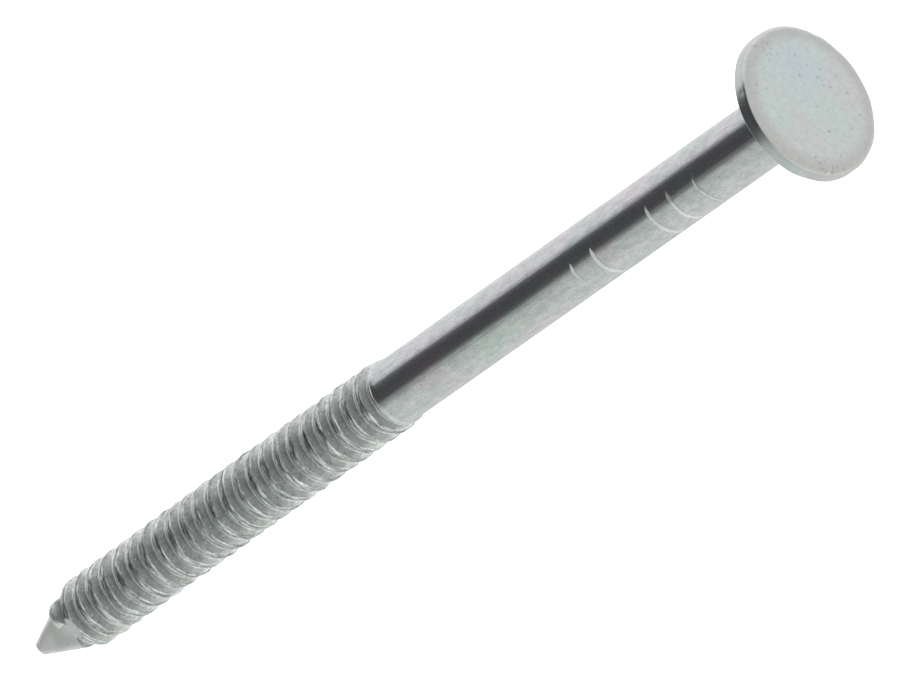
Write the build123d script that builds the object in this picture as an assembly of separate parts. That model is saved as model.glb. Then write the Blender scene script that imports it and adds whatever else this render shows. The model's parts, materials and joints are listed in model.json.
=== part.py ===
from build123d import *
from math import cos, radians, sin
import os

# Ring-shank nail, upright with its head on top.  Millimetres, +Z up.
# The origin is the centre of the head's underside, the plane that seats on the work.
# A name ending in _DEPTH_Z is a distance down the shank from that plane.
# An azimuth is in degrees from +X towards +Y.

# Driving dimensions
LENGTH = 75.0
SHANK_DIAMETER = 4.0
HEAD_DIAMETER = 9.55
HEAD_THICKNESS = 1.0
PLAIN_DEPTH_Z = 38.9
NECK_DEPTH_Z = 1.5
GRIPPED_DEPTH_Z = 22.5
POINT_DEPTH_Z = 70.3

# Head edges
STRIKING_EDGE_RADIUS = 0.45
SEATING_EDGE_RADIUS = 0.25
NECK_FILLET_RADIUS = 0.25

# Tooth marks of the heading dies, one set for each half of the die
MARK_DEPTHS_Z = (8.25, 10.6, 12.6, 18.0, 20.0)
MARK_BITE = 0.12
MARK_WIDTH = 0.34
MARK_AZIMUTHS = (-42.0, 138.0)

# Rolled rings
RING_COUNT = 23
RING_PITCH = 1.35
FIRST_RING_DEPTH_Z = 39.95
CREST_RADIUS = 2.22
ROOT_RADIUS = 1.92
CREST_WIDTH = 0.45
ROOT_WIDTH = 0.35

# Pinched point
FACET_COUNT = 4
FACET_HALF_ANGLE = 18.7
FACET_APEX_DEPTH_Z = 75.6
FACET_AZIMUTH = -83.0
TIP_RADIUS = 0.4
TIP_CONE_HALF_ANGLE = 28.0
JAW_SIZE = 20.0

# Worked out from the driving dimensions
SHANK_RADIUS = SHANK_DIAMETER / 2
HEAD_RADIUS = HEAD_DIAMETER / 2
PARTIAL_RING_DEPTH_Z = FIRST_RING_DEPTH_Z + RING_COUNT * RING_PITCH


def wire(top_depth, bottom_depth):
    """Stretch of drawn wire between two distances below the head."""
    stretch = Cylinder(SHANK_RADIUS, bottom_depth - top_depth, align=(Align.CENTER, Align.CENTER, Align.MAX))
    return Pos(0, 0, -top_depth) * stretch


def turned(outline):
    """Solid of revolution about Z from a closed outline in the XZ half-plane."""
    return revolve(make_face(outline), Axis.Z)


def make_head():
    """Flat disc upset on a short neck, with a soft striking edge and a crisper seating edge."""
    disc = Cylinder(HEAD_RADIUS, HEAD_THICKNESS, align=(Align.CENTER, Align.CENTER, Align.MIN))
    top_rim = disc.edges().filter_by(GeomType.CIRCLE).sort_by(Axis.Z)[-1]
    disc = fillet(top_rim, STRIKING_EDGE_RADIUS)
    bottom_rim = disc.edges().filter_by(GeomType.CIRCLE).sort_by(Axis.Z)[0]
    disc = fillet(bottom_rim, SEATING_EDGE_RADIUS)
    head = disc + wire(0, NECK_DEPTH_Z)
    seat_edges = head.edges().filter_by(GeomType.CIRCLE).filter_by_position(Axis.Z, 0, 0)
    neck_corner = seat_edges.sort_by(SortBy.RADIUS)[0]
    return fillet(neck_corner, NECK_FILLET_RADIUS)


def die_tooth(depth, azimuth):
    """Ring with a V-shaped inner edge, off centre so that it bites on one side and fades out."""
    edge_radius = SHANK_RADIUS + MARK_BITE
    off_centre = 2 * MARK_BITE
    height = 4 * MARK_BITE
    half_width = MARK_WIDTH / 2 * height / MARK_BITE
    outline = Polyline(
        (edge_radius, 0, 0),
        (edge_radius + height, 0, half_width),
        (edge_radius + height, 0, -half_width),
        close=True,
    )
    return Rot(0, 0, azimuth) * Pos(-off_centre, 0, -depth) * turned(outline)


def make_gripped_shank():
    """Plain shank below the neck, with the tooth marks of both die halves."""
    shank = wire(NECK_DEPTH_Z, GRIPPED_DEPTH_Z)
    for depth in MARK_DEPTHS_Z:
        for azimuth in MARK_AZIMUTHS:
            shank -= die_tooth(depth, azimuth)
    return shank


def make_plain_shank():
    """Plain shank between the die marks and the rings."""
    return wire(GRIPPED_DEPTH_Z, PLAIN_DEPTH_Z)


def ring_outline(depth):
    """Section of one ring centred at a depth: root, flank, crest, flank, root."""
    half_crest = CREST_WIDTH / 2
    half_gap = (RING_PITCH - ROOT_WIDTH) / 2
    return [
        (ROOT_RADIUS, 0, -(depth - half_gap)),
        (CREST_RADIUS, 0, -(depth - half_crest)),
        (CREST_RADIUS, 0, -(depth + half_crest)),
        (ROOT_RADIUS, 0, -(depth + half_gap)),
    ]


def pinch(body):
    """Cuts the facets of the point, each by a flat jaw that leans over the tip."""
    jaw = Box(JAW_SIZE, JAW_SIZE, JAW_SIZE, align=(Align.MIN, Align.CENTER, Align.CENTER))
    leaning_jaw = Pos(0, 0, -FACET_APEX_DEPTH_Z) * Rot(0, FACET_HALF_ANGLE, 0) * jaw
    for facet in range(FACET_COUNT):
        body -= Rot(0, 0, FACET_AZIMUTH + facet * 360 / FACET_COUNT) * leaning_jaw
    return body


def make_ringed_shank():
    """Closed rings rolled into the wire, the last of them nicked by the facets."""
    outline = [(0, 0, -PLAIN_DEPTH_Z), (SHANK_RADIUS, 0, -PLAIN_DEPTH_Z)]
    for ring in range(RING_COUNT):
        outline += ring_outline(FIRST_RING_DEPTH_Z + ring * RING_PITCH)
    outline += [(ROOT_RADIUS, 0, -POINT_DEPTH_Z), (0, 0, -POINT_DEPTH_Z)]
    return pinch(turned(Polyline(*outline, close=True)))


def make_point():
    """Blunt four-sided point, which keeps pieces of one last ring at its corners."""
    tip_centre = LENGTH - TIP_RADIUS
    cone_angle = radians(TIP_CONE_HALF_ANGLE)
    cone_foot_radius = TIP_RADIUS * cos(cone_angle)
    cone_foot_depth = tip_centre + TIP_RADIUS * sin(cone_angle)
    middle_angle = radians(TIP_CONE_HALF_ANGLE + 90) / 2
    ring = ring_outline(PARTIAL_RING_DEPTH_Z)
    rise = (CREST_RADIUS - cone_foot_radius) * cos(cone_angle) / sin(cone_angle)
    cone_top_depth = cone_foot_depth - rise
    side = Polyline(
        (0, 0, -POINT_DEPTH_Z),
        (ROOT_RADIUS, 0, -POINT_DEPTH_Z),
        ring[0],
        ring[1],
        (CREST_RADIUS, 0, -cone_top_depth),
        (cone_foot_radius, 0, -cone_foot_depth),
    )
    middle = (TIP_RADIUS * cos(middle_angle), 0, -tip_centre - TIP_RADIUS * sin(middle_angle))
    tip = ThreePointArc(side @ 1, middle, (0, 0, -LENGTH))
    axis = Line((0, 0, -LENGTH), (0, 0, -POINT_DEPTH_Z))
    return pinch(turned([side, tip, axis]))


parts = {
    "head": make_head(),
    "gripped_shank": make_gripped_shank(),
    "plain_shank": make_plain_shank(),
    "ringed_shank": make_ringed_shank(),
    "point": make_point(),
}

os.makedirs("parts", exist_ok=True)
for node, shape in parts.items():
    export_step(shape, f"parts/{node}.step")
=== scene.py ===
"""Looks of the ring-shank nail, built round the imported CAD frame.

Everything is in metres, in the CAD's frame: +Z up the nail, origin at the centre of the
head's underside.  A depth is a distance down the shank from there.  A bearing is measured
round the nail from -Y, the side that faces the camera, towards -X.
"""

import json
import math

import bpy
import numpy as np
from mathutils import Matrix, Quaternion, Vector


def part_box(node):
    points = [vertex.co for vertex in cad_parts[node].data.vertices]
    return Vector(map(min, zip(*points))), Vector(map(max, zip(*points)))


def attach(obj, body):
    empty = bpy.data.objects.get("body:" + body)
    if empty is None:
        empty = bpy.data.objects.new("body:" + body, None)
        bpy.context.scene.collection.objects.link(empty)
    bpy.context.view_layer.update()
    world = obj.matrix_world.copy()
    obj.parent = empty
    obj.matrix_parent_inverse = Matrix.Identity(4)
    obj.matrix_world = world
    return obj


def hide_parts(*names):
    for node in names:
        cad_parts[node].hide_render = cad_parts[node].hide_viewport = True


MM = 0.001
TURN = 2 * math.pi

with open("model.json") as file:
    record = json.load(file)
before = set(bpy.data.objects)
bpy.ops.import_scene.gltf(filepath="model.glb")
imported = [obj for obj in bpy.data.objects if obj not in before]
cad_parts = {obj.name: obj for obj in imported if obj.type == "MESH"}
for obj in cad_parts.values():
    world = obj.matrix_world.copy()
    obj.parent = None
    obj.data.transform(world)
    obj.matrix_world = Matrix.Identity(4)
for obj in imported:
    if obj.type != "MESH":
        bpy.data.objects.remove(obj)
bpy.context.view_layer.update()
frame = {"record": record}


# ---------------------------------------------------------------- sizes from the frame


def node_top(node):
    """Highest level of a CAD node."""
    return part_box(node)[1].z


def node_bottom(node):
    """Lowest level of a CAD node."""
    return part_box(node)[0].z


MOUNTS = {mount["name"]: mount for mount in frame["record"]["mounts"]}
SHANK_R = MOUNTS["shank"]["dims"]["r_mm"] * MM
HEAD_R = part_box("head")[1].x
HEAD_TOP = node_top("head")
NECK_END = node_bottom("head")
GRIPPED_END = node_bottom("gripped_shank")
RINGS_START = node_top("ringed_shank")
RINGS_END = node_bottom("ringed_shank")
TIP = node_bottom("point")
CREST_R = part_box("ringed_shank")[1].x

# Columns of vertices round the smooth wire, the rings and the head
WIRE_COLUMNS = 208
RING_COLUMNS = 156
HEAD_COLUMNS = 480


# ---------------------------------------------------------------- relief


def random_waves(seed, count, most_round, shortest):
    """Smooth random relief of about unit height, closed round the nail, as a sum of waves.

    most_round is the most waves round the nail, and shortest the shortest wave along it.
    """
    draw = np.random.RandomState(seed)
    waves_round = draw.randint(-most_round, most_round + 1, count)
    waves_along = draw.uniform(-1, 1, count) * TURN / shortest
    starts = draw.uniform(0, TURN, count)
    height = math.sqrt(2 / count)

    def relief(bearing, depth):
        total = np.zeros(np.broadcast(bearing, depth).shape)
        for k, m, start in zip(waves_round, waves_along, starts):
            total += np.cos(k * bearing + m * depth + start)
        return total * height

    return relief


def smoothstep(low, high, value):
    """0 below low, 1 above high, smooth between."""
    t = np.clip((value - low) / (high - low), 0, 1)
    return t * t * (3 - 2 * t)


def bump(distance, width):
    """Rounded bump of height 1, with the given half-width at a little over a third of its height."""
    return np.exp(-((distance / width) ** 2))


def angle_between(bearing, centre):
    """Signed angle from centre to bearing, between minus and plus half a turn."""
    return (bearing - centre + math.pi) % TURN - math.pi


# Slow wander of the drawn wire's surface, and its fine drawing lines
wire_wander = random_waves(11, 24, 5, 5 * MM)
wire_lines = random_waves(12, 40, 60, 30 * MM)
WANDER = 0.0035 * MM
LINES = 0.0010 * MM

# Each tooth mark: depth in mm, bearing of its middle and half its spread in degrees, bite in mm.
# The second half of the dies leaves the same marks on the far side.
TOOTH_MARKS = (
    (8.15, 3, 19, 0.030),
    (8.25, -38, 47, 0.090),
    (10.60, -46, 62, 0.135),
    (12.60, -46, 61, 0.150),
    (18.00, -46, 57, 0.150),
    (20.00, -14, 23, 0.120),
)
MARK_TAPER = math.radians(20)
STEEP_WALL = 1.7
GENTLE_WALL = 0.58
MARK_WOBBLE = 0.03 * MM
mark_wobble = random_waves(21, 12, 7, 3 * MM)


def tooth_marks(bearing, depth):
    """Depth of the marks, where their bottoms are darkened (dirt and painted shade), and where their gentle
    walls are lightened (burnished, and a painted highlight).

    A mark is a V groove, steep towards the head, that comes to a thorn at each end.
    """
    cut = np.zeros(np.broadcast(bearing, depth).shape)
    dirt_and_shade = np.zeros(cut.shape)
    burnished_and_highlight = np.zeros(cut.shape)
    for far_side in (0, math.pi):
        for mark_depth, middle, half_spread, bite in TOOTH_MARKS:
            off = np.abs(angle_between(bearing, math.radians(middle) + far_side))
            inside = np.clip((math.radians(half_spread) - off) / MARK_TAPER, 0, 1)
            local_bite = bite * MM * (1 - (1 - inside) ** 2)
            along = depth - mark_depth * MM - MARK_WOBBLE * mark_wobble(bearing, depth)
            wall = np.where(along < 0, -along * STEEP_WALL, along * GENTLE_WALL)
            cut = np.maximum(cut, local_bite - wall)
            # Dark line near the bottom of each V: dirt, and painted shade in the crack
            dirt_and_shade = np.maximum(dirt_and_shade, inside * bump(along - 0.025 * MM, 0.045 * MM))
            # The gentle wall is lightened: burnished by the teeth, and a painted highlight where it tilts up
            gentle = smoothstep(0.03 * MM, 0.08 * MM, along) * smoothstep(0, 0.02 * MM, local_bite - wall)
            burnished_and_highlight = np.maximum(burnished_and_highlight, gentle)
    return cut, dirt_and_shade, burnished_and_highlight


def plain_radius(bearing, depth):
    """Drawn wire with its tooth marks, where they are darkened (dirt and painted shade) and lightened
    (burnished, and a painted highlight).
    """
    radius = SHANK_R + WANDER * wire_wander(bearing, depth) + LINES * wire_lines(bearing, depth)
    cut, dirt_and_shade, burnished_and_highlight = tooth_marks(bearing, depth)
    return radius - cut, dirt_and_shade, burnished_and_highlight


# ---------------------------------------------------------------- rings

RING_COUNT = 23
RING_PITCH = 1.35 * MM
FIRST_RING = 39.98 * MM
GROOVE_DEPTH = 0.29 * MM
UPPER_LIP = -0.21 * MM
LOWER_LIP = 0.25 * MM
LIP_HEIGHT = 0.030 * MM
LIP_WIDTH = 0.045 * MM
CREASES = (-0.08 * MM, 0.05 * MM)
CREASE_DEPTH = 0.022 * MM
CREASE_WIDTH = 0.035 * MM
# How much darker the creases are painted: dirt, and painted shade in the crease
CREASE_DIRT_AND_SHADE = 0.54
GRIME = 0.10
SCORE_DEPTH = 0.016 * MM
START_LIP = 39.00 * MM
START_LIP_HEIGHT = 0.13 * MM
START_LIP_WIDTH = 0.12 * MM
START_GROOVE = 39.42 * MM
START_GROOVE_DEPTH = 0.07 * MM
START_GROOVE_WIDTH = 0.13 * MM
START_SWAY = 0.05 * MM
RING_SWAY = 0.022 * MM
HOLLOW_SHAPE = 1.25
LOWER_LIP_SHARE = 0.3
GROOVE_GRAIN = 0.004 * MM
CREST_GRAIN = 0.003 * MM

ring_sway = random_waves(31, 30, 6, 4 * MM)
lip_strength = random_waves(32, 50, 16, 1.1 * MM)
crease_strength = random_waves(35, 50, 12, 1.3 * MM)
groove_grain = random_waves(33, 90, 40, 0.35 * MM)
crest_grain = random_waves(34, 90, 50, 0.25 * MM)
scores = random_waves(36, 90, 10, 0.20 * MM)


def ring_radius(bearing, depth):
    """Rounded ridges between rolled grooves, with lips on both shoulders, a crease and scored lines.

    Also how dull each place is (where the grooves' painted shade, sheen and light go), how much it faces down
    the nail (up it, if negative), and how much it is darkened: crease dirt and painted shade, and grime.
    """
    swayed = depth + RING_SWAY * ring_sway(bearing, depth)
    turns = (swayed - FIRST_RING) / RING_PITCH
    from_crest = (turns - np.round(turns)) * RING_PITCH
    hollow = (0.5 - 0.5 * np.cos(TURN * turns)) ** HOLLOW_SHAPE
    radius = CREST_R - GROOVE_DEPTH * hollow
    strength = np.clip(0.8 + 0.7 * lip_strength(bearing, depth), 0, 2)
    lips = bump(from_crest - UPPER_LIP, LIP_WIDTH) + LOWER_LIP_SHARE * bump(from_crest - LOWER_LIP, LIP_WIDTH)
    radius += LIP_HEIGHT * strength * lips
    crease = np.zeros(radius.shape)
    for middle, side in zip(CREASES, (1, -1)):
        strength = np.clip(0.6 + side * 0.9 * crease_strength(bearing, depth), 0, 1.6)
        off = from_crest - middle - 0.03 * MM * lip_strength(bearing, depth)
        crease = np.maximum(crease, strength * bump(off, CREASE_WIDTH))
    radius -= CREASE_DEPTH * crease
    radius += GROOVE_GRAIN * groove_grain(bearing, depth) * hollow
    on_ridge = 1 - smoothstep(0.1, 0.6, hollow)
    radius += (CREST_GRAIN * crest_grain(bearing, depth) + SCORE_DEPTH * scores(bearing, depth)) * on_ridge
    dull_and_painted_light = np.maximum(
        1 - smoothstep(UPPER_LIP - 0.09 * MM, UPPER_LIP - 0.03 * MM, from_crest),
        smoothstep(LOWER_LIP - 0.01 * MM, LOWER_LIP + 0.08 * MM, from_crest),
    )
    off_crest = np.abs(from_crest)
    flank = smoothstep(0.14 * MM, 0.24 * MM, off_crest) * (1 - smoothstep(0.48 * MM, 0.62 * MM, off_crest))
    away = flank * np.sign(from_crest)
    between_lips = smoothstep(UPPER_LIP + 0.04 * MM, UPPER_LIP + 0.10 * MM, from_crest) * (1 - dull_and_painted_light)
    return radius, dull_and_painted_light, away, CREASE_DIRT_AND_SHADE * crease + GRIME * between_lips


def start_of_rings(bearing, depth, ringed):
    """Blends the plain wire into the first ring over a low lip and a narrow groove."""
    into = smoothstep(START_GROOVE - 0.15 * MM, START_GROOVE + 0.15 * MM, depth)
    sway = START_SWAY * ring_sway(bearing, depth * 0 + START_LIP)
    lip = START_LIP_HEIGHT * bump(depth - START_LIP - sway, START_LIP_WIDTH)
    groove = START_GROOVE_DEPTH * bump(depth - START_GROOVE + 0.02 * MM - sway, START_GROOVE_WIDTH)
    wire, dirt_and_shade, burnished_and_highlight = plain_radius(bearing, depth)
    return (wire + lip - groove) * (1 - into) + ringed * into, dirt_and_shade, burnished_and_highlight


# ---------------------------------------------------------------- point

# Each facet: its bearing, its half-angle, the depth where its plane would meet the axis, and how
# far it stands off that plane where it enters the wire.  Angles in degrees, lengths in mm.
FACETS = (
    (-7, 17.7, 75.90, 0.0),
    (83, 16.1, 76.33, 0.36),
    (173, 18.7, 75.60, 0.0),
    (263, 13.2, 77.00, 0.30),
)
FACET_ENTRY = 69.6 * MM
FACET_ENTRY_LENGTH = 0.65 * MM
SHARPNESS = 6
TIP_SHARPNESS = 2.8
POINT_RINGS_END = 71.75 * MM
facet_wander = random_waves(41, 16, 4, 3 * MM)

TIP_R = 0.80 * MM
TIP_FLARE = 0.62
TIP_BLUNTNESS = 2.6
TIP_BLEND = 12

# Piece of a last ridge that the pinch left standing at one corner
STUB_DEPTH = 70.80 * MM
STUB_HALF = 0.52 * MM
STUB_BEARING = math.radians(36)
STUB_HALF_SPREAD = math.radians(27)
STUB_R = 2.24 * MM
STUB_LINES = 0.010 * MM
STUB_GROOVE = 0.30
stub_lines = random_waves(42, 30, 4, 0.22 * MM)

# The nail isn't quite straight: the rings lean towards +X, and the point a little more
LEAN_START = 40 * MM
RING_LEAN = 0.20 * MM
POINT_LEAN = 0.01 * MM


def facet_radius(bearing, depth):
    """Distance from the axis to the nearest of the four facets."""
    near_tip = smoothstep(-TIP - 1.8 * MM, -TIP - 0.4 * MM, depth)
    sharpness = SHARPNESS + (TIP_SHARPNESS - SHARPNESS) * near_tip
    inverse = np.zeros(np.broadcast(bearing, depth).shape)
    for middle, half_angle, apex, entry in FACETS:
        height = np.maximum(apex * MM - depth, 0.02 * MM)
        flat = math.tan(math.radians(half_angle)) * height
        flat += entry * MM * bump(np.maximum(depth - FACET_ENTRY, 0), FACET_ENTRY_LENGTH)
        off = angle_between(bearing, math.radians(middle))
        facing = np.maximum(np.cos(off), 0.05)
        inverse += (facing / flat) ** sharpness
    return (1.04 + 0.04 * near_tip) * inverse ** (-1 / sharpness) * (1 + 0.008 * facet_wander(bearing, depth))


def tip_radius(depth):
    """Radius of the round blunt tip, and of a cone that widens quickly above it."""
    below = (depth - (-TIP - TIP_R)) / TIP_R
    rounded = (1 - np.clip(below, 0, 1) ** TIP_BLUNTNESS) ** (1 / TIP_BLUNTNESS)
    return TIP_R * (rounded + TIP_FLARE * np.maximum(-below, 0))


def stub_share(bearing, depth):
    """How much of each place belongs to the stub of the last ridge."""
    along = np.clip(1 - ((depth - STUB_DEPTH) / STUB_HALF) ** 2, 0, 1)
    across = np.clip(1 - (angle_between(bearing, STUB_BEARING) / STUB_HALF_SPREAD) ** 2, 0, 1)
    return along**0.45 * across**0.8


def lean(depth):
    """How far the middle of the nail has moved towards +X at a depth."""
    rings = np.clip((depth - LEAN_START) / (-RINGS_END - LEAN_START), 0, None)
    point = smoothstep(-RINGS_END, -TIP - 1 * MM, depth)
    return RING_LEAN * rings**2 + POINT_LEAN * point


def shank_radius(bearing, depth):
    """Radius of the whole shank, and how much of each place is groove, rolled, facet, darkened by dirt and
    painted shade, and so on.
    """
    ringed, dull_and_painted_light, away, ring_dirt_and_shade = ring_radius(bearing, depth)
    late = smoothstep(POINT_RINGS_END, POINT_RINGS_END + 0.2 * MM, depth)
    ringed = ringed * (1 - late) + (SHANK_R + 0.08 * MM) * late
    before, dirt_and_shade, burnished_and_highlight = start_of_rings(bearing, depth, ringed)
    body = np.where(depth < START_GROOVE + 0.3 * MM, before, ringed)
    facets = facet_radius(bearing, depth)
    tip = np.maximum(tip_radius(depth), 0.001 * MM)
    facets = (facets**-TIP_BLEND + tip**-TIP_BLEND) ** (-1 / TIP_BLEND)
    cut = smoothstep(0, 0.03 * MM, body - facets)
    stub = stub_share(bearing, depth)
    stub_r = STUB_R + STUB_LINES * stub_lines(bearing, depth)
    radius = np.minimum(body, facets)
    radius = radius + np.maximum(stub_r - radius, 0) * stub
    cut = cut * (1 - stub)
    rolled = smoothstep(START_GROOVE - 0.1 * MM, START_GROOVE + 0.1 * MM, depth) + 0 * bearing
    dulled = 1 - smoothstep(POINT_RINGS_END - 0.45 * MM, POINT_RINGS_END - 0.1 * MM, depth)
    ridged = rolled * (1 - cut) * (1 - stub) * dulled
    groove = np.maximum(dull_and_painted_light * ridged, STUB_GROOVE * stub)
    dirt_and_shade = np.maximum(dirt_and_shade, ring_dirt_and_shade * ridged)
    values = {"groove": groove, "rolled": rolled * (1 - cut), "cut": cut}
    values |= {"away": away * ridged, "dirt_and_shade": dirt_and_shade, "burnished_and_highlight": burnished_and_highlight}
    return radius, values


# ---------------------------------------------------------------- meshes


def sharpen_rims(mesh, rows, columns, at_top, at_bottom):
    """Marks the first and last ring of edges sharp, so that a flat end doesn't tilt the sides' shading."""
    ends = np.zeros(len(mesh.edges) * 2, np.int32)
    mesh.edges.foreach_get("vertices", ends)
    row = ends.reshape(-1, 2) // columns
    level = row[:, 0] == row[:, 1]
    rim = level & (((row[:, 0] == 0) & at_top) | ((row[:, 0] == rows - 1) & at_bottom))
    mesh.attributes.new("sharp_edge", "BOOLEAN", "EDGE").data.foreach_set("value", rim)


def skin(name, rings, top, bottom, smooth_top=False, smooth_bottom=False, values=None):
    """Closed mesh through rings of points, from the top down, closed by a centre point at each end."""
    rows, columns = rings.shape[:2]
    points = np.concatenate([rings.reshape(-1, 3), [top, bottom]])
    column = np.arange(columns)
    following = (column + 1) % columns
    sides = []
    for row in range(rows - 1):
        upper, lower = row * columns, (row + 1) * columns
        sides.append(np.stack([upper + column, lower + column, lower + following, upper + following], 1))
    sides = np.concatenate(sides)
    top_index, bottom_index = len(points) - 2, len(points) - 1
    last = (rows - 1) * columns
    top_fan = np.stack([np.full(columns, top_index), column, following], 1)
    bottom_fan = np.stack([np.full(columns, bottom_index), last + following, last + column], 1)
    mesh = bpy.data.meshes.new(name)
    mesh.from_pydata(points.tolist(), [], sides.tolist() + top_fan.tolist() + bottom_fan.tolist())
    smooth = np.ones(len(mesh.polygons), bool)
    smooth[len(sides) : len(sides) + columns] = smooth_top
    smooth[len(sides) + columns :] = smooth_bottom
    mesh.polygons.foreach_set("use_smooth", smooth)
    sharpen_rims(mesh, rows, columns, not smooth_top, not smooth_bottom)
    for value_name, grid in (values or {}).items():
        attribute = mesh.attributes.new(value_name, "FLOAT", "POINT")
        flat = np.concatenate([grid.reshape(-1), [grid[0].mean(), grid[-1].mean()]])
        attribute.data.foreach_set("value", flat.astype(np.float32))
    mesh.update()
    mesh.validate()
    piece = bpy.data.objects.new(name, mesh)
    bpy.context.scene.collection.objects.link(piece)
    return piece


def place(bearing, radius, level):
    """Points at a bearing, a distance from the axis and a level."""
    return np.stack([-radius * np.sin(bearing), -radius * np.cos(bearing), level], -1)


def spaced(start, end, step):
    """Evenly spaced values from start to end, both included, about a step apart."""
    return np.linspace(start, end, max(2, round(abs(end - start) / step) + 1))


def bearings(columns):
    """Bearings of the columns of vertices, in the order that turns the faces outwards."""
    return -np.arange(columns) * TURN / columns


def shank_piece(name, depths, columns, smooth_tip=False):
    """One stretch of the shank through the given depths."""
    bearing, depth = np.meshgrid(bearings(columns), depths)
    radius, values = shank_radius(bearing, depth)
    rings = place(bearing, radius, -depth)
    rings[..., 0] += lean(depth)
    top, bottom = [(lean(end), 0, -end) for end in (depths[0], depths[-1])]
    if smooth_tip:
        bottom = (bottom[0], 0, TIP)
    return skin(name, rings, top, bottom, smooth_bottom=smooth_tip, values=values)


def gripped_depths():
    """Rows of the gripped shank, close together across each tooth mark."""
    rows = [spaced(-NECK_END, -GRIPPED_END, 0.2 * MM)]
    for mark_depth, _, _, _ in TOOTH_MARKS:
        rows.append(spaced((mark_depth - 0.25) * MM, (mark_depth + 0.45) * MM, 0.025 * MM))
    depths = np.sort(np.concatenate(rows))
    return depths[np.append(True, np.diff(depths) > 0.004 * MM)]


RIDGE_HALF = 0.36 * MM


def ring_depths():
    """Rows of the ringed shank, close together over each ridge and wider apart in the grooves."""
    rows = [spaced(-RINGS_START, FIRST_RING - RIDGE_HALF, 0.03 * MM)[:-1]]
    for ring in range(RING_COUNT):
        crest = FIRST_RING + ring * RING_PITCH
        next_ridge = crest + RING_PITCH - RIDGE_HALF
        rows.append(spaced(crest - RIDGE_HALF, crest + RIDGE_HALF, 0.036 * MM)[:-1])
        rows.append(spaced(crest + RIDGE_HALF, next_ridge, 0.105 * MM)[:-1])
    depths = np.concatenate(rows)
    return np.append(depths[depths < -RINGS_END - 0.02 * MM], -RINGS_END)


def point_depths():
    """Rows of the point, closing in on the round tip."""
    straight = spaced(-RINGS_END, -TIP - TIP_R, 0.04 * MM)
    turn = np.linspace(0, math.pi / 2, 14)[1:-1]
    return np.concatenate([straight, -TIP - TIP_R + TIP_R * np.sin(turn)])


# ---------------------------------------------------------------- head

STRIKING_EDGE_HIGH = 0.30 * MM
STRIKING_EDGE_WIDE = 0.38 * MM
SEATING_EDGE = 0.09 * MM
NECK_FILLET = 0.25 * MM
RIM_WANDER = 0.010 * MM
FACE_WANDER = 0.003 * MM
rim_wander = random_waves(52, 30, 14, 2 * MM)

# Small dents in the striking face: the middle of each group and its spread in mm, and how many
DENT_GROUPS = (
    (-3.75, -0.6, 0.28, 9),
    (3.8, -2.2, 0.45, 24),
    (0.3, 1.0, 2.2, 26),
)
DENT_SIZE = 0.065 * MM
DENT_DEPTH = 0.016 * MM

# Nicks in the rim: bearing in degrees, then level, half-width and bite in mm
RIM_NICKS = (
    (33, 0.55, 0.22, 0.015),
    (-64, 0.80, 0.25, 0.05),
    (141, 0.75, 0.30, 0.06),
)


def face_waves(x, y):
    """Slow unevenness of the striking face, of about unit height."""
    draw = np.random.RandomState(51)
    total = np.zeros(x.shape)
    for _ in range(14):
        along_x, along_y = draw.uniform(-1.6, 1.6, 2) / MM
        total += np.cos(along_x * x + along_y * y + draw.uniform(0, TURN))
    return total / 3


def face_dents(x, y):
    """Share of each place that is inside a dent: short strokes, each turned its own way."""
    draw = np.random.RandomState(53)
    share = np.zeros(x.shape)
    for middle_x, middle_y, spread, count in DENT_GROUPS:
        for _ in range(count):
            dent_x, dent_y = np.array([middle_x, middle_y]) + draw.normal(0, spread, 2)
            turn, longer = draw.uniform(0, math.pi), draw.uniform(1, 2.2)
            off_x, off_y = x - dent_x * MM, y - dent_y * MM
            along = (off_x * math.cos(turn) + off_y * math.sin(turn)) / longer
            across = off_y * math.cos(turn) - off_x * math.sin(turn)
            size = DENT_SIZE * draw.uniform(0.5, 1.1)
            share = np.maximum(share, bump(np.hypot(along, across), size))
    return share


def arc(centre, across, up, start, end, count):
    """Points of a quarter or part ellipse in the half-plane (distance from axis, level)."""
    turn = np.radians(np.linspace(start, end, count))
    return np.stack([centre[0] + across * np.cos(turn), centre[1] + up * np.sin(turn)], 1)


def head_outline():
    """Section of the head from the middle of its top, over the rim and in to the neck's end."""
    face_edge = HEAD_R - STRIKING_EDGE_WIDE
    face = spaced(0.06 * MM, face_edge, 0.07 * MM)[:-1]
    neck_start = SHANK_R + NECK_FILLET
    seat = spaced(HEAD_R - SEATING_EDGE, neck_start, 0.25 * MM)[1:-1]
    neck = spaced(-NECK_FILLET, NECK_END, 0.15 * MM)[1:]
    rim_top = HEAD_TOP - STRIKING_EDGE_HIGH
    rim = spaced(rim_top, SEATING_EDGE, 0.06 * MM)[1:-1]
    return np.concatenate(
        [
            np.stack([face, np.full(len(face), HEAD_TOP)], 1),
            arc((face_edge, rim_top), STRIKING_EDGE_WIDE, STRIKING_EDGE_HIGH, 90, 0, 20),
            np.stack([np.full(len(rim), HEAD_R), rim], 1),
            arc((HEAD_R - SEATING_EDGE, SEATING_EDGE), SEATING_EDGE, SEATING_EDGE, 0, -90, 10),
            np.stack([seat, np.zeros(len(seat))], 1),
            arc((neck_start, -NECK_FILLET), NECK_FILLET, NECK_FILLET, 90, 180, 8),
            np.stack([np.full(len(neck), SHANK_R), neck], 1),
        ]
    )


def rim_nicks(bearing, level):
    """Depth of the nicks in the rim."""
    bite = np.zeros(bearing.shape)
    for middle, nick_level, half_width, nick_bite in RIM_NICKS:
        along = HEAD_R * angle_between(bearing, math.radians(middle))
        away = np.hypot(along, level - nick_level * MM)
        bite += nick_bite * MM * bump(away, half_width * MM)
    return bite


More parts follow.
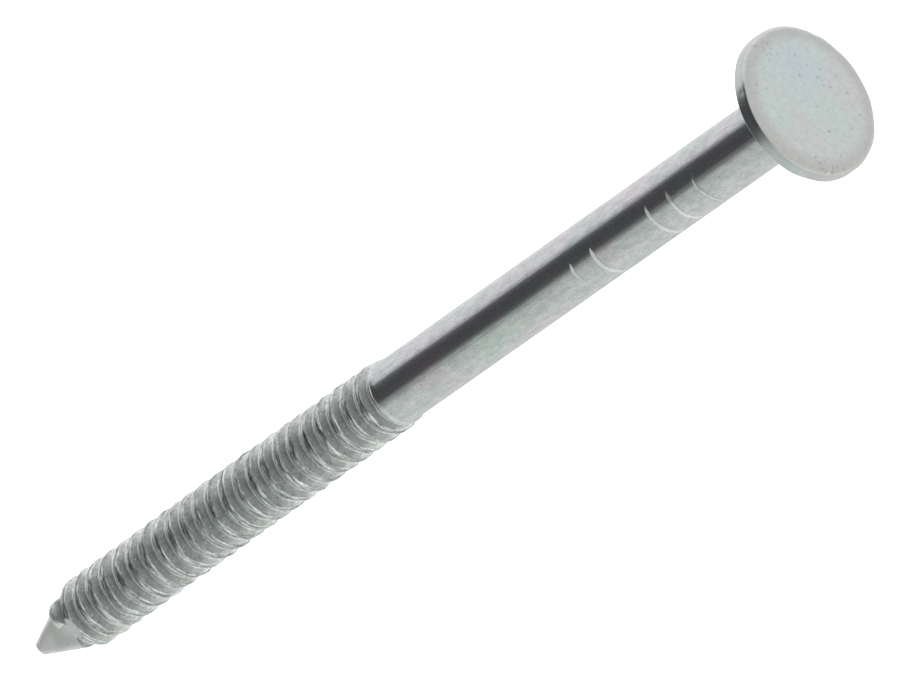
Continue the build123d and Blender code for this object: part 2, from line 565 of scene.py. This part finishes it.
def head_piece():
    """Flat head with a soft striking edge, small dents and a slightly uneven rim."""
    outline = head_outline()
    step = np.gradient(outline, axis=0)
    length = np.hypot(step[:, 0], step[:, 1])
    outward = np.stack([-step[:, 1] / length, step[:, 0] / length], 1)
    bearing, radius = np.meshgrid(bearings(HEAD_COLUMNS), outline[:, 0])
    level = np.repeat(outline[:, 1:], HEAD_COLUMNS, 1)
    on_head = smoothstep(-0.2 * MM, 0.05 * MM, level)
    on_rim = on_head * smoothstep(HEAD_R - 1.2 * MM, HEAD_R - 0.3 * MM, radius)
    rings = place(bearing, radius, level)
    on_top = smoothstep(HEAD_TOP - 0.3 * MM, HEAD_TOP, level)
    dents = face_dents(rings[..., 0], rings[..., 1]) * on_top
    rise = RIM_WANDER * rim_wander(bearing, level) * on_rim - DENT_DEPTH * dents
    rise += FACE_WANDER * face_waves(rings[..., 0], rings[..., 1]) * on_top
    rise -= rim_nicks(bearing, level) * on_rim
    rings = place(bearing, radius + rise * outward[:, :1], level + rise * outward[:, 1:])
    rounding = smoothstep(HEAD_TOP - 0.5 * MM, HEAD_TOP - 0.25 * MM, level)
    edge = smoothstep(HEAD_R - 1.3 * MM, HEAD_R - 0.45 * MM, radius) * (0.5 + 0.5 * rounding)
    # The dents are painted darker, through the dirt-and-shade value
    values = {"edge": edge, "dirt_and_shade": dents}
    top, bottom = (0, 0, HEAD_TOP), (0, 0, NECK_END)
    return skin("nail_head", rings, top, bottom, smooth_top=True, values=values)


# ---------------------------------------------------------------- materials


class Nodes:
    """Short way to build a node tree."""

    def __init__(self, tree):
        self.tree = tree
        tree.nodes.clear()

    def add(self, kind, **settings):
        node = self.tree.nodes.new(kind)
        for key, value in settings.items():
            if key in node.inputs:
                self.plug(node.inputs[key], value)
            else:
                setattr(node, key, value)
        return node

    def plug(self, socket, value):
        if isinstance(value, bpy.types.NodeSocket):
            self.tree.links.new(value, socket)
        else:
            socket.default_value = value

    def math(self, operation, *values):
        node = self.tree.nodes.new("ShaderNodeMath")
        node.operation = operation
        for socket, value in zip(node.inputs, values):
            self.plug(socket, value)
        return node.outputs[0]

    def ramp(self, value, low, high, out_low, out_high):
        """Maps low..high to out_low..out_high, smoothly and clamped."""
        node = self.tree.nodes.new("ShaderNodeMapRange")
        node.interpolation_type = "SMOOTHSTEP"
        for socket, given in zip(node.inputs[:5], (value, low, high, out_low, out_high)):
            self.plug(socket, given)
        return node.outputs[0]

    def mix(self, factor, first, second, blend="MIX"):
        node = self.tree.nodes.new("ShaderNodeMix")
        node.data_type = "RGBA"
        node.blend_type = blend
        self.plug(node.inputs[0], factor)
        self.plug(node.inputs[6], first)
        self.plug(node.inputs[7], second)
        return node.outputs[2]

    def mix_values(self, factor, first, second):
        node = self.tree.nodes.new("ShaderNodeMix")
        for socket, value in zip(node.inputs[:4], (factor, None, first, second)):
            if value is not None:
                self.plug(socket, value)
        return node.outputs[0]

    def noise(self, vector, scale, detail=3.0, roughness=0.55, distortion=0.0):
        node = self.add("ShaderNodeTexNoise")
        self.plug(node.inputs["Vector"], vector)
        self.plug(node.inputs["Scale"], scale)
        self.plug(node.inputs["Detail"], detail)
        self.plug(node.inputs["Roughness"], roughness)
        self.plug(node.inputs["Distortion"], distortion)
        return node.outputs[0]

    def stretched(self, vector, x, y, z):
        node = self.add("ShaderNodeMapping")
        self.plug(node.inputs["Vector"], vector)
        self.plug(node.inputs["Scale"], (x, y, z))
        return node.outputs[0]

    def value(self, name):
        return self.add("ShaderNodeAttribute", attribute_name=name).outputs["Fac"]

    def grey(self, value):
        """Colour with all three channels at one value."""
        node = self.tree.nodes.new("ShaderNodeCombineColor")
        for socket in node.inputs:
            self.plug(socket, value)
        return node.outputs[0]

    def stops(self, value, low, high, colours):
        """Colour that runs smoothly through evenly or unevenly placed stops, from low to high."""
        node = self.tree.nodes.new("ShaderNodeValToRGB")
        node.color_ramp.interpolation = "EASE"
        elements = node.color_ramp.elements
        for _ in range(len(colours) - len(elements)):
            elements.new(0.5)
        for element, (at, colour) in zip(elements, colours):
            element.position = (at - low) / (high - low)
            element.color = (*colour, 1)
        share = self.add("ShaderNodeMapRange").outputs[0]
        for socket, given in zip(share.node.inputs[:5], (value, low, high, 0, 1)):
            self.plug(socket, given)
        self.plug(node.inputs[0], share)
        return node.outputs[0]


ZINC = (0.615, 0.638, 0.626, 1)
ZINC_HEAD = (0.610, 0.682, 0.665, 1)
ZINC_GREEN = (0.575, 0.640, 0.608, 1)
ZINC_BLUE = (0.590, 0.665, 0.715, 1)
ZINC_PINK = (0.670, 0.630, 0.645, 1)
EDGE_TINT = (0.540, 0.530, 0.515, 1)
# Groove colours: a dark tint, partly the dull zinc's own and partly painted shade, and a pale painted sheen
# towards grazing
GROOVE_TINT_AND_SHADE = (0.296, 0.313, 0.304, 1)
GROOVE_SHEEN = (0.900, 0.925, 0.905, 1)
# Colour of the facets, also painted as light onto ridge flanks that face up the nail
FACET_TINT_AND_FLANK_LIGHT = (0.640, 0.660, 0.640, 1)
# Pale colour for flecks on the rolled zinc, and for the marks' gentle walls, where it is partly a painted
# highlight
BURNISHED_AND_HIGHLIGHT = (0.860, 0.885, 0.880, 1)
# Dark colour for pits, dirt and painted shade
DIRT_AND_SHADE = (0.190, 0.182, 0.172, 1)
BLUE_PATCH = (-1.9 * MM, 0.8 * MM, 1.0 * MM)
BLUE_PATCH_R = 2.4 * MM
HEAD_CONTRAST = 0.32
# Darkening of the shank's marks, creases and grime (dirt and painted shade), darkening of the head's dents,
# and lightening of the marks' gentle walls (burnish and painted highlight)
DIRT_AND_SHADE_STRENGTH = 0.85
HEAD_DENT_DARKENING = 0.5
BURNISH_AND_HIGHLIGHT_STRENGTH = 0.22


def tinted(n, where, rolled, head):
    """Passivation tints, in soft patches drawn out along the wire."""
    if head:
        tints = n.noise(where, 330, 2)
        colour = n.mix(n.ramp(tints, 0.50, 0.66, 0, 0.5), ZINC_HEAD, ZINC_PINK)
    else:
        tints = n.noise(n.stretched(where, 1, 1, 0.4), 640, 3)
        colour = n.mix(n.ramp(tints, 0.50, 0.66, 0, 0.3 if rolled else 0.9), ZINC, ZINC_PINK)
        colour = n.mix(n.ramp(tints, 0.49, 0.34, 0, 1), colour, ZINC_GREEN)
    if head:
        away = n.add("ShaderNodeVectorMath", operation="DISTANCE")
        n.plug(away.inputs[0], where)
        n.plug(away.inputs[1], BLUE_PATCH)
        near = n.ramp(away.outputs["Value"], 0.2 * BLUE_PATCH_R, BLUE_PATCH_R, 0.6, 0)
        colour = n.mix(near, colour, ZINC_BLUE)
        colour = n.mix(n.math("MULTIPLY", n.value("edge"), 0.75), colour, EDGE_TINT)
    return colour


def zinc(name, rolled=False, head=False):
    """Passivated zinc plating: tinted patches, mottling, specks, pits and uneven gloss, marks darkened by
    dirt and painted shade, and on the rolled zinc the grooves' painted shade, sheen and light.
    """
    material = bpy.data.materials.new(name)
    material.use_nodes = True
    n = Nodes(material.node_tree)
    where = n.add("ShaderNodeTexCoord").outputs["Object"]
    colour = tinted(n, where, rolled, head)

    contrast = HEAD_CONTRAST if head else 1.0
    mottle = n.noise(n.stretched(where, 1, 1, 0.45), 2600, 5, 0.62)
    specks = n.noise(where, 10500, 2, 0.6)
    streaks = n.noise(n.stretched(where, 1, 1, 0.06), 2600, 3)
    tone = n.ramp(mottle, 0.28, 0.72, 1 - 0.13 * contrast, 1 + 0.09 * contrast)
    tone = n.math("MULTIPLY", tone, n.ramp(specks, 0.3, 0.7, 1 - 0.11 * contrast, 1 + 0.09 * contrast))
    tone = n.math("MULTIPLY", tone, n.ramp(streaks, 0.3, 0.7, 0.97, 1.02))
    rough = n.ramp(mottle, 0.3, 0.7, 0.27, 0.20)
    height = n.math("ADD", mottle, n.math("MULTIPLY", specks, 0.25))
    height = n.math("MULTIPLY", height, contrast)

    metallic = 1.0
    if rolled:
        in_groove = n.ramp(n.value("groove"), 0.04, 0.36, 0, 1)
        on_ridge = n.math("MULTIPLY", n.value("rolled"), n.ramp(n.value("groove"), 0.15, 0.5, 1, 0.12))
        lines = n.noise(n.stretched(where, 0.10, 0.10, 1), 7500, 3, 0.6)
        line_tone = n.ramp(lines, 0.38, 0.62, -0.42, 0.32)
        tone = n.math("ADD", tone, n.math("MULTIPLY", line_tone, on_ridge))
        scuffs = n.ramp(n.noise(n.stretched(where, 1, 1, 1.4), 4600, 3), 0.34, 0.66, -0.14, 0.12)
        scuffed = n.math("MULTIPLY", n.value("rolled"), n.math("MULTIPLY_ADD", in_groove, -0.5, 1.0))
        tone = n.math("ADD", tone, n.math("MULTIPLY", scuffs, scuffed))
        height = n.math("ADD", height, n.math("MULTIPLY", lines, n.math("MULTIPLY", on_ridge, 12)))
        facet_tone = n.ramp(n.noise(where, 420, 2), 0.36, 0.64, 0.88, 1.10)
        tone = n.mix_values(n.math("MULTIPLY", n.value("cut"), 0.8), tone, facet_tone)
        colour = n.mix(n.value("cut"), colour, FACET_TINT_AND_FLANK_LIGHT)
        facing = n.add("ShaderNodeLayerWeight", Blend=0.5).outputs["Facing"]
        faces_down = n.math("MAXIMUM", n.value("away"), 0.0)
        faces_up = n.math("MAXIMUM", n.math("MULTIPLY", n.value("away"), -1.0), 0.0)
        # Painted sheen: the grooves' colour turns pale towards grazing, but hardly on flanks that face down
        # the nail
        sheen = n.ramp(facing, 0.26, 0.76, 0, 1)
        sheen = n.math("MULTIPLY", sheen, n.math("MULTIPLY_ADD", faces_down, -0.92, 1.0))
        # The grooves' colour: the dark tint (dull zinc and painted shade) mixed towards the painted sheen
        dull_and_painted_light = n.mix(sheen, GROOVE_TINT_AND_SHADE, GROOVE_SHEEN)
        # Painted shade: flanks that face down the nail are darkened
        dull_and_painted_light = n.mix(n.math("MULTIPLY", faces_down, 0.60), dull_and_painted_light, DIRT_AND_SHADE)
        # Painted light: flanks that face up the nail are lightened towards grazing
        lit = n.math("MULTIPLY", faces_up, n.ramp(facing, 0.06, 0.36, 0, 0.5))
        dull_and_painted_light = n.mix(lit, dull_and_painted_light, FACET_TINT_AND_FLANK_LIGHT)
        colour = n.mix(in_groove, colour, dull_and_painted_light)
        matte = n.math("MULTIPLY", in_groove, n.math("MULTIPLY_ADD", sheen, 0.45, 0.20))
        metallic = n.math("SUBTRACT", 1.0, matte)
        rough = n.math("ADD", rough, n.math("MULTIPLY", in_groove, 0.30))
        rough = n.math("ADD", rough, n.math("MULTIPLY", on_ridge, 0.12))
        rough = n.math("ADD", rough, n.math("MULTIPLY", n.value("cut"), 0.08))
    colour = n.mix(1.0, colour, n.grey(tone), "MULTIPLY")
    if rolled:
        flecks = n.ramp(n.noise(where, 5200, 2), 0.64, 0.72, 0, 0.4)
        colour = n.mix(n.math("MULTIPLY", flecks, n.value("rolled")), colour, BURNISHED_AND_HIGHLIGHT)
    if not head:
        # Gentle walls of the tooth marks lightened: burnished, and a painted highlight
        colour = n.mix(n.math("MULTIPLY", n.value("burnished_and_highlight"), BURNISH_AND_HIGHLIGHT_STRENGTH), colour, BURNISHED_AND_HIGHLIGHT)

    pits = n.ramp(n.noise(where, 6500, 1), 0.68, 0.75, 0, 0.5 * contrast)
    dirt_and_shade_strength = HEAD_DENT_DARKENING if head else DIRT_AND_SHADE_STRENGTH
    # Darker in pits, and where marks, creases, grime and dents are darkened by dirt and painted shade
    dirt_and_shade = n.math("MAXIMUM", pits, n.math("MULTIPLY", n.value("dirt_and_shade"), dirt_and_shade_strength))
    colour = n.mix(dirt_and_shade, colour, DIRT_AND_SHADE)

    relief = n.add("ShaderNodeBump")
    n.plug(relief.inputs["Strength"], 0.3)
    n.plug(relief.inputs["Distance"], 0.01 * MM)
    n.plug(relief.inputs["Height"], height)
    shader = n.add("ShaderNodeBsdfPrincipled")
    n.plug(shader.inputs["Base Color"], colour)
    n.plug(shader.inputs["Metallic"], metallic)
    n.plug(shader.inputs["Roughness"], rough)
    n.plug(shader.inputs["Normal"], relief.outputs[0])
    out = n.add("ShaderNodeOutputMaterial")
    n.plug(out.inputs["Surface"], shader.outputs[0])
    return material


def finish_piece(piece, node, material):
    """Gives a piece its finish, and its place in the frame."""
    piece.data.materials.append(material)
    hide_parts(node)
    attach(piece, "root")


wire_zinc = zinc("zinc_wire")
rolled_zinc = zinc("zinc_rolled", rolled=True)
plain_depths = spaced(-GRIPPED_END, -RINGS_START, 0.12 * MM)

head = head_piece()
gripped_shank = shank_piece("nail_gripped_shank", gripped_depths(), WIRE_COLUMNS)
plain_shank = shank_piece("nail_plain_shank", plain_depths, WIRE_COLUMNS)
ringed_shank = shank_piece("nail_ringed_shank", ring_depths(), RING_COLUMNS)
point = shank_piece("nail_point", point_depths(), WIRE_COLUMNS, smooth_tip=True)

finish_piece(head, "head", zinc("zinc_head", head=True))
finish_piece(gripped_shank, "gripped_shank", wire_zinc)
finish_piece(plain_shank, "plain_shank", wire_zinc)
finish_piece(ringed_shank, "ringed_shank", rolled_zinc)
finish_piece(point, "point", rolled_zinc)


# ---------------------------------------------------------------- studio

FLOOR_HALF = 3.0
FLOOR_DROP = 60 * MM
FLOOR_WHITE = (0.93, 0.93, 0.93, 1)


def make_floor():
    """Plain pale floor some way below the tip, kept out of the nail's reflections."""
    corners = [(-1, -1), (1, -1), (1, 1), (-1, 1)]
    mesh = bpy.data.meshes.new("studio_floor")
    points = [(x * FLOOR_HALF, y * FLOOR_HALF, TIP - FLOOR_DROP) for x, y in corners]
    mesh.from_pydata(points, [], [(0, 1, 2, 3)])
    floor = bpy.data.objects.new("studio_floor", mesh)
    bpy.context.scene.collection.objects.link(floor)
    material = bpy.data.materials.new("floor_white")
    material.use_nodes = True
    shader = material.node_tree.nodes["Principled BSDF"]
    shader.inputs["Base Color"].default_value = FLOOR_WHITE
    shader.inputs["Roughness"].default_value = 0.9
    shader.inputs["Specular IOR Level"].default_value = 0.0
    mesh.materials.append(material)
    floor.visible_glossy = False


# Light of the pale tent by bearing, in degrees, as red, green and blue: the shank
# mirrors twice the bearing of its own surface.  The dark opening spans -21 to 76 degrees.
TENT_STRENGTH = 1.25
TENT = (
    (-180, (0.61, 0.61, 0.61)),
    (-156, (0.62, 0.62, 0.62)),
    (-130, (0.668, 0.680, 0.672)),
    (-75, (0.655, 0.680, 0.666)),
    (-45, (0.570, 0.598, 0.584)),
    (-15, (0.495, 0.525, 0.510)),
    (60, (0.56, 0.56, 0.575)),
    (80, (0.720, 0.715, 0.740)),
    (110, (0.750, 0.745, 0.770)),
    (150, (0.78, 0.78, 0.79)),
    (180, (0.64, 0.64, 0.64)),
)
OPENING = (0.066, 0.064, 0.070, 1)
BELOW_DARK = 0.42
BELOW_LIGHT = 0.82
ABOVE = (0.680, 0.680, 0.680, 1)

# Edges of the dark opening, in degrees: where it begins and is fully dark, and where it fades
OPENING_TURN_START = (-21, 7)
OPENING_TURN_END = (54, 76)
OPENING_RISE_START = (-72, -56)
OPENING_RISE_END = (10, 38)


def make_studio():
    """White studio tent all round, with one dark opening that the nail mirrors as a dark strip."""
    world = bpy.data.worlds.new("studio")
    bpy.context.scene.world = world
    world.use_nodes = True
    n = Nodes(world.node_tree)
    direction = n.add("ShaderNodeTexCoord").outputs["Generated"]
    split = n.add("ShaderNodeSeparateXYZ")
    n.plug(split.inputs[0], direction)
    x, y, z = split.outputs
    round_angle = n.math("ARCTAN2", n.math("MULTIPLY", x, -1), n.math("MULTIPLY", y, -1))
    turn = n.math("MULTIPLY", round_angle, 180 / math.pi)
    rise = n.math("MULTIPLY", n.math("ARCSINE", z), 180 / math.pi)
    tent = n.stops(turn, -180, 180, TENT)
    behind = n.ramp(n.math("ABSOLUTE", turn), 150, 178, 0, 1)
    low_behind = n.math("MULTIPLY", n.ramp(rise, -20, 20, 0.20, 0), n.ramp(rise, -60, -48, 0, 1))
    low_behind = n.math("MULTIPLY", behind, low_behind)
    level = n.math("MULTIPLY", n.ramp(rise, -43, 5, 1.0, 1.24), n.math("SUBTRACT", 1.0, low_behind))
    tent = n.mix(1.0, tent, n.grey(level), "MULTIPLY")
    below = n.grey(n.ramp(n.math("ABSOLUTE", x), 0.04, 0.34, BELOW_DARK, BELOW_LIGHT))
    tent = n.mix(n.ramp(rise, -68, -54, 1, 0), tent, below)
    tent = n.mix(n.ramp(rise, 12, 50, 0, 1), tent, ABOVE)
    turned_in = n.ramp(turn, *OPENING_TURN_START, 0, 1)
    turned_out = n.ramp(turn, *OPENING_TURN_END, 1, 0)
    opening = n.math("MULTIPLY", turned_in, turned_out)
    risen_in = n.ramp(rise, *OPENING_RISE_START, 0, 1)
    risen_out = n.ramp(rise, *OPENING_RISE_END, 1, 0)
    low_high = n.math("MULTIPLY", risen_in, risen_out)
    tent = n.mix(n.math("MULTIPLY", opening, low_high), tent, OPENING)
    background = n.add("ShaderNodeBackground")
    n.plug(background.inputs["Color"], tent)
    n.plug(background.inputs["Strength"], TENT_STRENGTH)
    out = n.add("ShaderNodeOutputWorld")
    n.plug(out.inputs["Surface"], background.outputs[0])


SOFTBOX_SIDE = 2.4
SOFTBOX_HEIGHT = 2.2
SOFTBOX_POWER = 60


def make_softbox():
    """Large soft light overhead, which keeps the floor white."""
    data = bpy.data.lights.new("softbox", "AREA")
    data.shape = "SQUARE"
    data.size = SOFTBOX_SIDE
    data.energy = SOFTBOX_POWER
    softbox = bpy.data.objects.new("softbox", data)
    softbox.location = (0, 0, SOFTBOX_HEIGHT)
    softbox.visible_camera = False
    softbox.visible_glossy = False
    bpy.context.scene.collection.objects.link(softbox)


# The camera looks down on the head side of the nail and is rolled, so that the nail lies
# across the picture from lower left to upper right.
CAMERA_RISE = math.radians(43.2)
CAMERA_ROLL = math.radians(54.8)
CAMERA_DISTANCE = 1.278
CAMERA_LENS = 875.5
AIM = Vector((-0.77 * MM, 0, -32.97 * MM))


def make_camera():
    """Long lens from well back, as for a product picture."""
    data = bpy.data.cameras.new("camera")
    data.lens = CAMERA_LENS
    data.sensor_width = 36
    data.clip_start = 0.05
    data.clip_end = 20
    camera = bpy.data.objects.new("camera", data)
    back = Vector((0, -math.cos(CAMERA_RISE), math.sin(CAMERA_RISE)))
    camera.location = AIM + back * CAMERA_DISTANCE
    camera.rotation_mode = "QUATERNION"
    level = (-back).to_track_quat("-Z", "Y")
    camera.rotation_quaternion = level @ Quaternion((0, 0, 1), CAMERA_ROLL)
    bpy.context.scene.collection.objects.link(camera)
    bpy.context.scene.camera = camera


make_floor()
make_studio()
make_softbox()
make_camera()
bpy.context.scene.view_settings.view_transform = "Standard"
